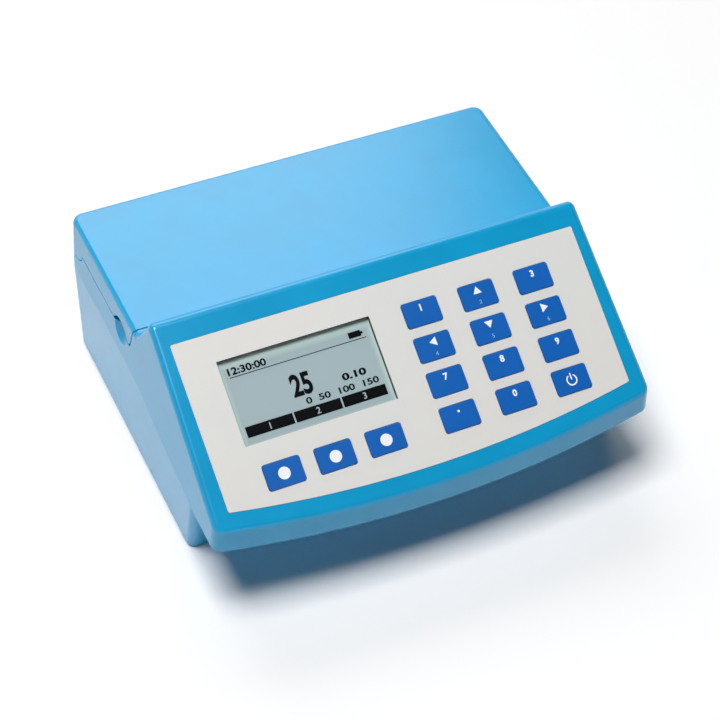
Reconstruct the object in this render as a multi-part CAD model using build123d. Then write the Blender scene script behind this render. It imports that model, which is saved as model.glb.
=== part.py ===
from build123d import *

import os
from math import cos, radians, sin, tan

# Benchtop photometer: millimetres, +X to the user's right, +Y to the rear, +Z up, origin under the middle of the
# case on the surface that it stands on.

# Case outline
REAR_HALF = 103.0
FRONT_HALF = 99.4
REAR_Y = 90.4
FRONT_CORNER_Y = -81.8
FRONT_BULGE = 7.6
CORNER_R = 5.0
DRAFT = 4.3
WALL = 2.6
EDGE_R = 2.6
SHELL_LAP = 0.15

# Side view of the case
PARTING_Z = 50.5
PARTING_BREAK_Y = 10.0
NOSE_Z = 38.1
NOSE_BACK_Y = -60.0
FOOT_HEIGHT = 1.0
TUB_FRONT_Y = -48.0
TUB_LEAN = 13.0
TUB_CORNER_R = 4.0
RIDGE_Y = -5.5
RIDGE_Z = 97.0
RIDGE_R = 3.4
PANEL_TILT = 31.7
LANDING_Y = 8.0
LANDING_R = 4.0

# Lid and hinge
LID_TOP_Z = 77.3
LID_FRONT_TOP_Y = 11.5
LID_FRONT_LOW_Y = 15.5
LID_FLANGE_DEPTH = 7.0
SKIRT_Z = 65.0
SKIRT_CORNER_R = 2.5
SEAM_GAP = 0.6
HINGE_Z = 67.0
LOBE_R = 8.0
LOBE_WIDTH = 3.0
PIN_R = 2.0
PIN_CLEARANCE = 0.06
PIN_COVER = 0.8
EAR_R = 6.0
RIM_GAP = 1.3
RIM_WIDTH = 2.4
RIM_Z = 72.5
HINGE_GAP = 0.4
EAR_GAP = 1.0
NOTCH_Y = 26.2
NOTCH_R = 9.2
NOTCH_RISE = 5.0
SCOOP_R = 9.4
SCOOP_DEPTH = 3.0
SCOOP_RIM = 1.0

# Deck under the lid
DECK_Z = 62.0
REAR_SHELF_Z = 58.0
COLLAR_R = 20.0
COLLAR_NECK_R = 17.0
COLLAR_HEIGHT = 2.0

# Panel overlay, measured down the slope from the ridge
OVERLAY_TOP_HALF = 92.1
OVERLAY_LOW_HALF = 91.7
OVERLAY_TOP_V = 11.2
OVERLAY_LOW_V = 83.3
OVERLAY_BULGE = 7.8
OVERLAY_CORNER_R = 0.8
OVERLAY_RECESS = 0.45
OVERLAY_THICK = 0.4

# Display
WINDOW_X = -42.3
WINDOW_V = 41.7
WINDOW_WIDTH = 67.8
WINDOW_HEIGHT = 36.7
GASKET_WIDTH = 1.2
GLASS_MARGIN = 1.6
GLASS_THICK = 1.8
BACKLIGHT_THICK = 3.2
BOSS_GAP = 0.2

# Keys
KEY_WIDTH = 16.2
KEY_HEIGHT = 11.0
KEY_R = 1.4
KEY_GAP = 0.2
KEY_PROUD = 0.45
KEY_TRAVEL = 0.4
KEY_FLANGE = 0.8
KEY_FLANGE_THICK = 0.8
KEY_EDGE = 0.25
KEY_REST_GAP = 0.05
PAD_X = 14.2
PAD_V = 28.5
PAD_PITCH_X = 26.3
PAD_PITCH_V = 15.5
PAD_COLUMNS = 3
PAD_ROWS = 4
SOFT_X = -64.7
SOFT_V = 74.9
SOFT_PITCH = 22.6
SOFT_COUNT = 3
CONTACT_R = 4.5
CONTACT_THICK = 0.35
BOARD_THICK = 1.6
BOARD_EDGE = 5.0

# Optics
WELL_X = 0.0
WELL_Y = 42.0
WELL_R = 12.6
WELL_FLOOR_Z = 12.0
BLOCK_R = 17.5
BLOCK_FLOOR = 3.5
BEAM_Z = 24.0
BEAM_R = 3.0
FLANGE_HALF = 24.0
FLANGE_THICK = 4.0
FLANGE_DROP = 8.0
TUNNEL_R = 8.5
TUNNEL_WALL = 2.5
TUNNEL_START = 24.0
TUNNEL_END = 52.0
LENS_R = 6.0
LENS_THICK = 3.0
LENS_BULGE = 1.0
SPLITTER_X = 33.0
SPLITTER_THICK = 1.0
FILTER_X = 42.0
FILTER_HOLDER_THICK = 4.0
FILTER_R = 2.4
FILTER_THICK = 3.0
FILTER_RING_R = 5.4
EMITTER_R = 1.5
EMITTER_DOME_R = 1.2
EMITTER_LENGTH = 5.4
EMITTER_BOARD_HALF = 11.0
DETECTOR_R = 4.5
DETECTOR_LENGTH = 4.0
DETECTOR_ARM_END = 24.0
DETECTOR_ARM_HALF = 9.0
REFERENCE_R = 4.0
REFERENCE_LENGTH = 3.5
OPTIC_FIT = 0.1

# Boards, battery and ports in the tub
MAIN_BOARD_HALF = 74.0
MAIN_BOARD_FRONT_Y = -40.0
MAIN_BOARD_REAR_Y = 12.0
MAIN_BOARD_Z = 9.0
CHIP_HEIGHT = 1.6
CHIP_SIDE = 12.0
CHIP_PITCH = 30.0
CHIP_COUNT = 4
BATTERY_X = 69.5
BATTERY_Y = 43.0
BATTERY_WIDTH = 27.0
BATTERY_LENGTH = 56.0
BATTERY_HEIGHT = 19.0
BATTERY_R = 2.0
CRADLE_HEIGHT = 8.0
CRADLE_GAP = 0.3
PORT_BOARD_X = -56.5
PORT_BOARD_HALF = 28.0
PORT_BOARD_LENGTH = 22.0
PORT_BOARD_GAP = 2.6
PORT_BOARD_Z = 14.0
USB_A_X = -72.0
USB_A_WIDTH = 13.1
USB_A_HEIGHT = 5.7
USB_A_DEPTH = 14.0
USB_SHELL = 0.4
USB_TONGUE = 1.8
TONGUE_GAP = 1.0
MICRO_X = -55.0
MICRO_WIDTH = 7.6
MICRO_HEIGHT = 2.8
MICRO_DEPTH = 5.6
MICRO_MOUTH = 1.9
JACK_X = -38.0
JACK_BORE_R = 1.8
JACK_BUSH_R = 3.0
JACK_BODY = 8.0
JACK_DEPTH = 12.0
PORT_CLEARANCE = 0.3
PORT_RECESS = 0.6
PORT_PANEL_MARGIN = 3.0

# Fasteners and feet
CASE_SCREW_X = 90.0
CASE_SCREW_FRONT_Y = -30.0
CASE_SCREW_REAR_Y = 62.0
BOSS_R = 4.6
BOSS_TOP_Z = 44.0
SCREW_R = 1.3
SCREW_HEAD_R = 2.8
SCREW_HEAD_THICK = 2.0
SCREW_GRIP = 6.0
SCREW_BITE = 10.0
SCREW_CLEARANCE = 0.1
BOARD_SCREW_R = 1.0
BOARD_SCREW_HEAD_R = 2.0
BOARD_SCREW_HEAD = 1.2
BOARD_BOSS_R = 2.6
FOOT_X = 72.0
FOOT_FRONT_Y = -36.0
FOOT_REAR_Y = 76.0
FOOT_R = 6.0
FOOT_SEAT = 1.2

# Reach of the construction solids beyond the case, and the least rise of an edge that counts as upright
FAR = 130.0
UPRIGHT = 0.9

SIDE_SLOPE = (REAR_HALF - FRONT_HALF) / (REAR_Y - FRONT_CORNER_Y)
DRAFT_SLOPE = tan(radians(DRAFT))
TILT_SLOPE = tan(radians(PANEL_TILT))
UPPER_START_Z = 20.0
PANEL = Plane(
    origin=(0, RIDGE_Y, RIDGE_Z),
    x_dir=(1, 0, 0),
    z_dir=(0, -sin(radians(PANEL_TILT)), cos(radians(PANEL_TILT))),
)
WALL_TOP_Z = SKIRT_Z - SEAM_GAP
HINGE_Y = REAR_Y - LOBE_R
FLOOR_Z = FOOT_HEIGHT + WALL
PORT_BOARD_REAR_Y = REAR_Y - WALL - PORT_BOARD_GAP
PORT_BOARD_FRONT_Y = PORT_BOARD_REAR_Y - PORT_BOARD_LENGTH
KEY_BACK = -WALL - KEY_REST_GAP
CONTACT_TOP = KEY_BACK - KEY_FLANGE_THICK - KEY_TRAVEL - KEY_REST_GAP
KEY_BOARD_TOP = CONTACT_TOP - CONTACT_THICK
DISPLAY_BACK = -WALL - GLASS_THICK - BACKLIGHT_THICK


def half_at(y, z):
    """Half width of the drafted outer wall at a depth and a height."""
    return REAR_HALF - (REAR_Y - y) * SIDE_SLOPE - (z - PARTING_Z) * DRAFT_SLOPE


def panel_z(y):
    """Height of the panel plane at a depth."""
    return RIDGE_Z - (RIDGE_Y - y) * TILT_SLOPE


def face_of(points, rounds=()):
    """Flat face through 2-D points, with (point, radius) corners rounded."""
    face = make_face(Polyline(*points, close=True))
    for point, radius in rounds:
        corner = face.vertices().sort_by_distance(Vector(*point, 0))[0]
        face = fillet(corner, radius)
    return face


def across(face, reach=FAR):
    """Side-view face drawn in (y, z), pulled across the whole width."""
    return extrude(Plane.YZ * face, amount=reach, both=True)


def rectangle(y_low, y_high, z_low, z_high):
    """Side-view rectangle between two depths and two heights."""
    return Pos((y_low + y_high) / 2, (z_low + z_high) / 2) * Rectangle(y_high - y_low, z_high - z_low)


def disc(y, z, radius):
    """Side-view disc."""
    return Pos(y, z) * Circle(radius)


def outline(inset=0.0, rear=REAR_Y):
    """Plan with tapered sides, reaching far in front."""
    rear_y = rear - inset
    wide = REAR_HALF - (REAR_Y - rear_y) * SIDE_SLOPE - inset
    narrow = REAR_HALF - (REAR_Y + FAR) * SIDE_SLOPE - inset
    return face_of([(wide, rear_y), (-wide, rear_y), (-narrow, -FAR), (narrow, -FAR)])


def rear_corners(body, inset=0.0):
    """Round the two upright corners at the rear."""
    corners = [edge for edge in body.edges()
               if abs(edge.center().Y - REAR_Y + inset) < CORNER_R and is_upright(edge)]
    return fillet(corners, CORNER_R - inset)


def is_upright(edge):
    """Whether an edge runs mainly up and down."""
    return abs(edge.tangent_at(0.5).Z) > UPRIGHT


def straight(inset=0.0):
    """Volume inside the upright walls of the lower case."""
    return rear_corners(extrude(outline(inset), amount=RIDGE_Z), inset)


def drafted(inset=0.0, rear=REAR_Y):
    """Upper case volume inside its drafted sides and its upright rear wall."""
    spread = (PARTING_Z - UPPER_START_Z) * DRAFT_SLOPE
    base = outline(inset - spread, 2 * FAR)
    body = extrude(Pos(0, 0, UPPER_START_Z) * base, amount=RIDGE_Z, taper=DRAFT)
    body &= across(rectangle(-2 * FAR, rear - inset, 0, FAR), 2 * FAR)
    return rear_corners(body, inset) if rear == REAR_Y else body


def bowed_front(inset=0.0):
    """Upright cylinder whose near side is the bowed front of the case."""
    radius = (FRONT_HALF ** 2 + FRONT_BULGE ** 2) / (2 * FRONT_BULGE)
    centre_y = FRONT_CORNER_Y - FRONT_BULGE + radius
    return rod_z(0, centre_y, radius - inset, 0, FAR)


def side_strips(outer_inset, inner_inset, rear=REAR_Y):
    """The two side walls between two insets from the outer surface."""
    return drafted(outer_inset, rear) - drafted(inner_inset, REAR_Y + FAR)


def panel_box(x, v, width, height, top, bottom, radius=0.0):
    """Block on the panel, centred at x and v down the slope, between two heights off the panel."""
    shape = Rectangle(width, height) if radius == 0 else RectangleRounded(width, height, radius)
    return extrude(PANEL * Pos(x, -v, bottom) * shape, amount=top - bottom)


def panel_rod(x, v, radius, top, bottom):
    """Round rod on the panel between two heights off the panel."""
    return extrude(PANEL * Pos(x, -v, bottom) * Circle(radius), amount=top - bottom)


def rod_z(x, y, radius, low, high):
    """Upright rod."""
    return extrude(Pos(x, y, low) * Circle(radius), amount=high - low)


def rod_x(y, z, radius, low, high):
    """Rod along X."""
    return extrude(Plane.YZ.offset(low) * Pos(y, z) * Circle(radius), amount=high - low)


def rod_y(x, z, radius, low, high):
    """Rod along Y."""
    return extrude(Plane.XZ.offset(-high) * Pos(x, z) * Circle(radius), amount=high - low)


def block(x_low, x_high, y_low, y_high, z_low, z_high):
    """Box between two corners."""
    return Pos((x_low + x_high) / 2, (y_low + y_high) / 2, (z_low + z_high) / 2) * Box(
        x_high - x_low, y_high - y_low, z_high - z_low)


def pad_keys():
    """Key centres of the keypad block, row by row."""
    return [(PAD_X + column * PAD_PITCH_X, PAD_V + row * PAD_PITCH_V)
            for row in range(PAD_ROWS) for column in range(PAD_COLUMNS)]


def soft_keys():
    """Key centres of the soft keys under the display."""
    return [(SOFT_X + number * SOFT_PITCH, SOFT_V) for number in range(SOFT_COUNT)]


def overlay_face(shrink=0.0):
    """Outline of the overlay in panel coordinates, its lower edge bowed like the case front."""
    top = -(OVERLAY_TOP_V + shrink)
    low = -(OVERLAY_LOW_V - shrink)
    bow = ThreePointArc((-OVERLAY_LOW_HALF + shrink, low), (0, low - OVERLAY_BULGE), (OVERLAY_LOW_HALF - shrink, low))
    rest = Polyline((OVERLAY_LOW_HALF - shrink, low), (OVERLAY_TOP_HALF - shrink, top),
                    (-OVERLAY_TOP_HALF + shrink, top), (-OVERLAY_LOW_HALF + shrink, low))
    face = make_face([bow, rest])
    return fillet(face.vertices(), OVERLAY_CORNER_R)


def case_screws_at():
    """Plan places of the case screws."""
    return [(side * CASE_SCREW_X, y) for side in (-1, 1) for y in (CASE_SCREW_FRONT_Y, CASE_SCREW_REAR_Y)]


def feet_at():
    """Plan places of the feet."""
    return [(side * FOOT_X, y) for side in (-1, 1) for y in (FOOT_FRONT_Y, FOOT_REAR_Y)]


def key_board_screws_at():
    """Places of the keypad board screws, between the keys."""
    right = PAD_X + (PAD_COLUMNS - 0.5) * PAD_PITCH_X
    middle = PAD_X + PAD_PITCH_X / 2
    top = PAD_V - PAD_PITCH_V / 2 - BOARD_BOSS_R / 2
    low = PAD_V + (PAD_ROWS - 0.5) * PAD_PITCH_V + BOARD_BOSS_R / 2
    left = SOFT_X - SOFT_PITCH / 2 - BOARD_BOSS_R
    return [(middle, top), (right, top), (right, low), (middle, low), (left, SOFT_V)]


def display_screws_at():
    """Places of the display board screws, above and below the glass."""
    reach_x = WINDOW_WIDTH / 2 - BOARD_EDGE
    reach_v = WINDOW_HEIGHT / 2 + GLASS_MARGIN + BOARD_BOSS_R + BOSS_GAP
    return [(WINDOW_X + sx * reach_x, WINDOW_V + sv * reach_v) for sx in (-1, 1) for sv in (-1, 1)]


def upper_section():
    """Side view of the upper case without the lid."""
    points = [
        (FAR, PARTING_Z),
        (FAR, WALL_TOP_Z),
        (LID_FRONT_LOW_Y - SEAM_GAP, WALL_TOP_Z),
        (LID_FRONT_TOP_Y - SEAM_GAP, LID_TOP_Z),
        (LANDING_Y, LID_TOP_Z),
        (RIDGE_Y, RIDGE_Z),
        (-FAR, panel_z(-FAR)),
        (-FAR, NOSE_Z - (FAR + FRONT_CORNER_Y) * TILT_SLOPE),
        (FRONT_CORNER_Y, NOSE_Z),
        (NOSE_BACK_Y, NOSE_Z),
        (PARTING_BREAK_Y, PARTING_Z),
    ]
    return face_of(points, [(points[5], RIDGE_R), (points[4], LANDING_R), (points[2], SKIRT_CORNER_R)])


def upper_hollow_section():
    """Side view of the hollow inside the upper case, one wall in from its outside."""
    back = LID_FRONT_LOW_Y - SEAM_GAP
    housing = face_of([
        (back, -FAR),
        (back, WALL_TOP_Z),
        (LID_FRONT_TOP_Y - SEAM_GAP, LID_TOP_Z),
        (LANDING_Y, LID_TOP_Z),
        (RIDGE_Y, RIDGE_Z),
        (-FAR, panel_z(-FAR)),
        (-FAR, -FAR),
    ])
    housing = offset(housing, amount=-WALL, kind=Kind.INTERSECTION)
    under_deck = rectangle(0, FAR, -FAR, DECK_Z - WALL)
    under_shelf = rectangle(HINGE_Y, FAR, REAR_SHELF_Z - WALL, FAR)
    trough = disc(HINGE_Y, HINGE_Z, LOBE_R + HINGE_GAP + WALL)
    return housing + (under_deck - under_shelf - trough)


def upper_edges(body):
    """Edges of the landing, slope, panel and bowed front that carry the soft rounding."""
    picked = []
    for edge in body.edges():
        middle = edge.position_at(0.5)
        if middle.Y > LID_FRONT_TOP_Y - SEAM_GAP - SHELL_LAP:
            continue
        if middle.Y > LANDING_Y:
            expected = LID_TOP_Z
        elif middle.Y > RIDGE_Y:
            expected = RIDGE_Z - (middle.Y - RIDGE_Y) * (RIDGE_Z - LID_TOP_Z) / (LANDING_Y - RIDGE_Y)
        else:
            expected = panel_z(middle.Y)
        at_side = abs(middle.X) > half_at(middle.Y, middle.Z) - SEAM_GAP
        at_front = middle.Y < FRONT_CORNER_Y + CORNER_R
        if abs(middle.Z - expected) < RIDGE_R and (at_side or at_front):
            picked.append(edge)
    return picked


def upper_case():
    """Control housing, bowed front lip, side walls and measuring deck in one moulding."""
    body = drafted() & bowed_front() & across(upper_section())
    corners = [edge for edge in body.edges() if edge.center().Y < FRONT_CORNER_Y + CORNER_R and is_upright(edge)]
    body = fillet(corners, CORNER_R)
    body = fillet(upper_edges(body), EDGE_R)
    hollow = drafted(WALL) & bowed_front(WALL) & across(upper_hollow_section())
    body -= hollow

    # Deck recess, hinge trough and rear shelf
    body -= drafted(WALL) & across(rectangle(LID_FRONT_LOW_Y - SEAM_GAP, FAR, DECK_Z, FAR))
    body -= across(disc(HINGE_Y, HINGE_Z, LOBE_R + HINGE_GAP))
    body -= across(rectangle(HINGE_Y, FAR, REAR_SHELF_Z, FAR))

    # Light rims inside the lid skirts, ending in the hinge ears
    rim_low = REAR_SHELF_Z - WALL / 2
    rim = rectangle(LID_FRONT_LOW_Y, HINGE_Y, rim_low, RIM_Z)
    rim += disc(HINGE_Y, HINGE_Z, EAR_R) + rectangle(HINGE_Y, HINGE_Y + EAR_R, rim_low, HINGE_Z)
    rim_start = WALL + RIM_GAP
    body += side_strips(rim_start, rim_start + RIM_WIDTH) & across(rim)
    body -= across(disc(HINGE_Y, HINGE_Z, PIN_R + PIN_CLEARANCE))

    # Thumb scoops under the notches of the lid
    pad = rectangle(NOTCH_Y - SCOOP_R, NOTCH_Y + SCOOP_R, PARTING_Z + SCOOP_RIM, DECK_Z)
    body += side_strips(WALL - SHELL_LAP, rim_start + RIM_WIDTH) & across(pad)
    for side in (-1, 1):
        centre = half_at(NOTCH_Y, SKIRT_Z) + SCOOP_R - SCOOP_DEPTH
        body -= Pos(side * centre, NOTCH_Y, SKIRT_Z) * Sphere(SCOOP_R)

    # Overlay seat, display opening and key openings
    body -= extrude(PANEL * Pos(0, 0, -OVERLAY_RECESS) * overlay_face(), amount=WALL)
    body -= panel_box(WINDOW_X, WINDOW_V, WINDOW_WIDTH + 2 * GASKET_WIDTH, WINDOW_HEIGHT + 2 * GASKET_WIDTH,
                      WALL, -2 * WALL)
    for x, v in pad_keys() + soft_keys():
        body -= panel_box(x, v, KEY_WIDTH + 2 * KEY_GAP, KEY_HEIGHT + 2 * KEY_GAP, WALL, -2 * WALL, KEY_R)

    # Bosses for the keypad board, the display board, the optics and the case screws
    for x, v in key_board_screws_at():
        body += panel_rod(x, v, BOARD_BOSS_R, -WALL, KEY_BOARD_TOP)
        body -= panel_rod(x, v, BOARD_SCREW_R, -WALL, KEY_BOARD_TOP)
    for x, v in display_screws_at():
        body += panel_rod(x, v, BOARD_BOSS_R, -WALL, DISPLAY_BACK)
        body -= panel_rod(x, v, BOARD_SCREW_R, -WALL, DISPLAY_BACK)
    for x, y in flange_screws_at():
        body += rod_z(x, y, BOSS_R, DECK_Z - WALL - FLANGE_DROP, DECK_Z - WALL)
        body -= rod_z(x, y, SCREW_R, DECK_Z - WALL - FLANGE_DROP, DECK_Z - WALL)
    for x, y in case_screws_at():
        roof = DECK_Z if y > LID_FRONT_LOW_Y else panel_z(y) - WALL
        body += rod_z(x, y, BOSS_R, BOSS_TOP_Z, roof - WALL / 2)
        body -= rod_z(x, y, SCREW_R, BOSS_TOP_Z, BOSS_TOP_Z + SCREW_BITE)

    # Deck hole for the collar
    body -= rod_z(WELL_X, WELL_Y, COLLAR_NECK_R + SHELL_LAP, DECK_Z - 2 * WALL, FAR)
    return body


def tub_section(inset=0.0):
    """Side view of the tub under the parting line."""
    lean = tan(radians(TUB_LEAN))
    low = FOOT_HEIGHT + inset
    high = RIDGE_Z if inset else PARTING_Z
    front_low = TUB_FRONT_Y + inset / cos(radians(TUB_LEAN)) - inset * lean
    if inset:
        return face_of([(FAR, low), (FAR, high), (front_low - (high - low) * lean, high), (front_low, low)])
    fall = (PARTING_Z - NOSE_Z) / (PARTING_BREAK_Y - NOSE_BACK_Y)
    meet = (PARTING_Z - low - (PARTING_BREAK_Y - front_low) * fall) / (1 + lean * fall)
    return face_of([(FAR, low), (FAR, high), (PARTING_BREAK_Y, high), (front_low - meet * lean, low + meet),
                    (front_low, low)])


def lower_case():
    """Tub with its leaning front wall and the floor of the nose."""
    body = straight() & across(tub_section())
    corners = [edge for edge in body.edges() if edge.center().Y < TUB_FRONT_Y + WALL and is_upright(edge)]
    body = fillet(corners, TUB_CORNER_R)
    body -= straight(WALL) & across(tub_section(WALL))

    # Floor of the nose, set inside the walls of the upper case
    lap = WALL + SHELL_LAP
    inside = drafted(lap) & bowed_front(lap)
    rise = SEAM_GAP
    nose = face_of([
        (-FAR, NOSE_Z + rise - (FAR + FRONT_CORNER_Y) * TILT_SLOPE),
        (FRONT_CORNER_Y, NOSE_Z + rise),
        (NOSE_BACK_Y, NOSE_Z + rise),
        (NOSE_BACK_Y + 2 * WALL, NOSE_Z + rise),
        (NOSE_BACK_Y + 2 * WALL, NOSE_Z + rise + WALL),
        (FRONT_CORNER_Y, NOSE_Z + rise + WALL),
        (-FAR, NOSE_Z + rise + WALL - (FAR + FRONT_CORNER_Y) * TILT_SLOPE),
    ])
    body += inside & across(nose)

    # Screw bosses, feet seats, board and port supports
    for x, y in case_screws_at():
        body += rod_z(x, y, BOSS_R, FOOT_HEIGHT, BOSS_TOP_Z)
        body -= rod_z(x, y, SCREW_R + SCREW_CLEARANCE, FOOT_HEIGHT, BOSS_TOP_Z)
        body -= rod_z(x, y, SCREW_HEAD_R + SCREW_CLEARANCE, 0, BOSS_TOP_Z - SCREW_GRIP)
    for x, y in feet_at():
        body -= rod_z(x, y, FOOT_R, 0, FOOT_HEIGHT + FOOT_SEAT)
    for x, y in main_board_screws_at():
        body += rod_z(x, y, BOARD_BOSS_R, FLOOR_Z, MAIN_BOARD_Z)
        body -= rod_z(x, y, BOARD_SCREW_R, FLOOR_Z, MAIN_BOARD_Z)
    for x, y in port_board_screws_at():
        body += rod_z(x, y, BOARD_BOSS_R, FLOOR_Z, PORT_BOARD_Z)
        body -= rod_z(x, y, BOARD_SCREW_R, FLOOR_Z, PORT_BOARD_Z)
    body += battery_cradle()
    body -= port_panel_block(0)
    return body


def port_panel_block(inset):
    """Place of the socket panel in the rear wall, drawn in all round by an inset."""
    top = PORT_BOARD_Z + BOARD_THICK + JACK_BODY + PORT_PANEL_MARGIN
    return block(PORT_BOARD_X - PORT_BOARD_HALF + inset, PORT_BOARD_X + PORT_BOARD_HALF - inset,
                 REAR_Y - WALL, REAR_Y, PORT_BOARD_Z - PORT_PANEL_MARGIN + inset, top - inset)


def port_panel():
    """Socket panel in the rear wall, with the openings of the three sockets."""
    body = port_panel_block(SHELL_LAP)
    port_z = PORT_BOARD_Z + BOARD_THICK
    slack = 2 * PORT_CLEARANCE
    body -= block(USB_A_X - USB_A_WIDTH / 2 - PORT_CLEARANCE, USB_A_X + USB_A_WIDTH / 2 + PORT_CLEARANCE,
                  REAR_Y - 2 * WALL, FAR, port_z - PORT_CLEARANCE, port_z + USB_A_HEIGHT + PORT_CLEARANCE)
    body -= block(MICRO_X - MICRO_WIDTH / 2 - slack, MICRO_X + MICRO_WIDTH / 2 + slack,
                  REAR_Y - 2 * WALL, FAR, port_z - slack, port_z + MICRO_HEIGHT + slack)
    body -= rod_y(JACK_X, port_z + JACK_BODY / 2, JACK_BUSH_R + PORT_CLEARANCE, REAR_Y - 2 * WALL, FAR)
    return body


def battery_cradle():
    """Low ribs on the floor round the battery."""
    half_x = BATTERY_WIDTH / 2 + CRADLE_GAP
    half_y = BATTERY_LENGTH / 2 + CRADLE_GAP
    outer = block(BATTERY_X - half_x - WALL / 2, BATTERY_X + half_x + WALL / 2, BATTERY_Y - half_y - WALL / 2,
                  BATTERY_Y + half_y + WALL / 2, FLOOR_Z, FLOOR_Z + CRADLE_HEIGHT)
    inner = block(BATTERY_X - half_x, BATTERY_X + half_x, BATTERY_Y - half_y, BATTERY_Y + half_y,
                  FLOOR_Z, FLOOR_Z + CRADLE_HEIGHT)
    return outer - inner


def lid():
    """Flat lid with drafted skirts, thumb notches, hinge lobes and a rear barrel."""
    low_front = (LID_FRONT_LOW_Y, SKIRT_Z)
    silhouette = face_of([
        low_front,
        (LID_FRONT_TOP_Y, LID_TOP_Z),
        (FAR, LID_TOP_Z),
        (FAR, HINGE_Z),
        (HINGE_Y, HINGE_Z),
        (HINGE_Y, SKIRT_Z),
    ], [(low_front, SKIRT_CORNER_R)])
    body = drafted() & across(silhouette)
    top = [edge for edge in body.edges() if abs(edge.position_at(0.5).Z - LID_TOP_Z) < SHELL_LAP
           and edge.position_at(0.5).Y > LID_FRONT_TOP_Y + EDGE_R]
    body = fillet(top, EDGE_R)
    lobe = disc(HINGE_Y, HINGE_Z, LOBE_R)
    barrel = lobe - disc(HINGE_Y, HINGE_Z, LOBE_R - WALL)
    barrel = barrel & rectangle(HINGE_Y, FAR, SKIRT_Z - LOBE_R, HINGE_Z)

    under_top = face_of([
        (LID_FRONT_TOP_Y + WALL, LID_TOP_Z - WALL),
        (FAR, LID_TOP_Z - WALL),
        (FAR, -FAR),
        (-FAR, -FAR),
        (-FAR, LID_TOP_Z - LID_FLANGE_DEPTH),
        (LID_FRONT_TOP_Y + WALL + (LID_FLANGE_DEPTH - WALL) * seam_lean(), LID_TOP_Z - LID_FLANGE_DEPTH),
    ])
    body -= drafted(WALL) & across(under_top)
    body += drafted() & across(barrel)
    body += side_strips(0, LOBE_WIDTH) & across(lobe)
    body -= across(disc(NOTCH_Y, SKIRT_Z + NOTCH_RISE - NOTCH_R, NOTCH_R))

    # Slots that let the hinge ears of the case stand beside the lobes
    slot = rectangle(HINGE_Y - LOBE_R - WALL, FAR, 0, LID_TOP_Z - WALL)
    body -= side_strips(LOBE_WIDTH, WALL + RIM_GAP + RIM_WIDTH + EAR_GAP, REAR_Y + FAR) & across(slot)
    for side in (-1, 1):
        low, high = sorted((side * pin_end(), 0))
        body -= rod_x(HINGE_Y, HINGE_Z, PIN_R, low, high)
    return body


def seam_lean():
    """Depth that the lid's front edge gains per millimetre of height lost."""
    return (LID_FRONT_LOW_Y - LID_FRONT_TOP_Y) / (LID_TOP_Z - SKIRT_Z)


def pin_end():
    """Outer end of a hinge pin, inside the lobe."""
    return half_at(HINGE_Y, HINGE_Z) - PIN_COVER


def hinge_pins():
    """The two hinge pins, pressed into the lobes."""
    inner = half_at(HINGE_Y, HINGE_Z) - WALL - RIM_GAP - RIM_WIDTH - 2 * PIN_COVER
    return [rod_x(HINGE_Y, HINGE_Z, PIN_R, inner, pin_end()), rod_x(HINGE_Y, HINGE_Z, PIN_R, -pin_end(), -inner)]


def panel_overlay():
    """Pale sheet in its seat, with the display window and the key openings."""
    bottom = -OVERLAY_RECESS
    body = extrude(PANEL * Pos(0, 0, bottom) * overlay_face(SHELL_LAP), amount=OVERLAY_THICK)
    body -= panel_box(WINDOW_X, WINDOW_V, WINDOW_WIDTH, WINDOW_HEIGHT, WALL, -WALL)
    for x, v in pad_keys() + soft_keys():
        body -= panel_box(x, v, KEY_WIDTH + 2 * KEY_GAP, KEY_HEIGHT + 2 * KEY_GAP, WALL, -WALL, KEY_R)
    return body


def key(x, v):
    """One key cap with its retaining flange behind the panel wall."""
    cap = panel_box(x, v, KEY_WIDTH, KEY_HEIGHT, KEY_PROUD, KEY_BACK, KEY_R)
    cap = chamfer(cap.faces().sort_by(Axis(PANEL.origin, PANEL.z_dir))[-1].edges(), KEY_EDGE)
    flange = panel_box(x, v, KEY_WIDTH + 2 * KEY_FLANGE, KEY_HEIGHT + 2 * KEY_FLANGE,
                       KEY_BACK, KEY_BACK - KEY_FLANGE_THICK)
    return cap + flange


def key_contacts():
    """Contact disc under each key, on the keypad board."""
    return [panel_rod(x, v, CONTACT_R, CONTACT_TOP, KEY_BOARD_TOP) for x, v in pad_keys() + soft_keys()]


def key_board():
    """L-shaped board behind the keypad block and the soft keys."""
    pad_left = PAD_X - KEY_WIDTH / 2 - BOARD_EDGE / 2
    right = PAD_X + (PAD_COLUMNS - 0.5) * PAD_PITCH_X + BOARD_EDGE
    top = PAD_V - PAD_PITCH_V / 2 - BOARD_EDGE
    low = PAD_V + (PAD_ROWS - 0.5) * PAD_PITCH_V + BOARD_EDGE
    left = SOFT_X - SOFT_PITCH / 2 - 2 * BOARD_BOSS_R
    soft_top = SOFT_V - KEY_HEIGHT / 2 - KEY_FLANGE
    face = face_of([(pad_left, -top), (right, -top), (right, -low), (left, -low), (left, -soft_top),
                    (pad_left, -soft_top)])
    body = extrude(PANEL * Pos(0, 0, KEY_BOARD_TOP - BOARD_THICK) * face, amount=BOARD_THICK)
    for x, v in key_board_screws_at():
        body -= panel_rod(x, v, BOARD_SCREW_R + SCREW_CLEARANCE, 0, KEY_BOARD_TOP - 2 * BOARD_THICK)
    return body


def panel_screw(x, v, seat):
    """Board screw driven towards the panel, its head under a board at the given height."""
    shank = panel_rod(x, v, BOARD_SCREW_R, seat + 2 * BOARD_THICK, seat)
    return shank + panel_rod(x, v, BOARD_SCREW_HEAD_R, seat, seat - BOARD_SCREW_HEAD)


def key_board_screws():
    """Screws of the keypad board."""
    return [panel_screw(x, v, KEY_BOARD_TOP - BOARD_THICK) for x, v in key_board_screws_at()]


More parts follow.
